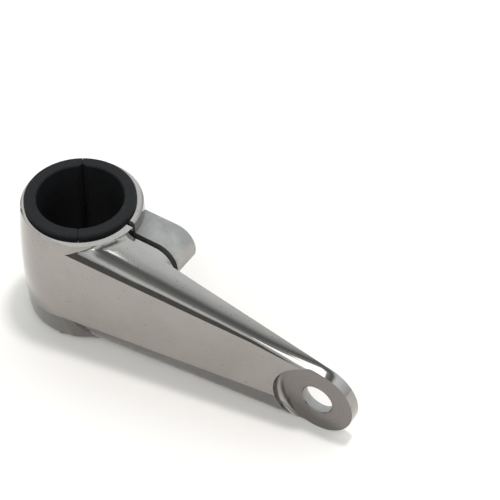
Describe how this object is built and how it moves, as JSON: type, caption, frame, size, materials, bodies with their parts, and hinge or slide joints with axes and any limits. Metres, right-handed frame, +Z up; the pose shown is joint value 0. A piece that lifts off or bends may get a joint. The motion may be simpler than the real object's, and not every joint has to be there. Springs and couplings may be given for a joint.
{
  "type": "headlight bracket",
  "caption": "Cast aluminium headlight bracket: a split fork clamp ring lined with rubber, closed by socket screws, with a tapering arm that ends in a flat round lamp eye.",
  "frame": {"origin": "on the fork axis, halfway between the two clamp screws", "axes": "+Z up along the fork axis, +X along the arm towards the lamp eye, -Y out of the polished outer face, the screw heads face +Y"},
  "size_m": [0.1577, 0.0518, 0.0575],
  "materials": {
    "cast_aluminium": "polished outside, satin as cast inside",
    "shim_rubber": "matte",
    "screw_steel": "satin"
  },
  "bodies": {
    "root": {"bracket_casting": "cast_aluminium", "front_shim_half": "shim_rubber", "rear_shim_half": "shim_rubber", "clamp_screws": "screw_steel"}
  },
  "joints": []
}
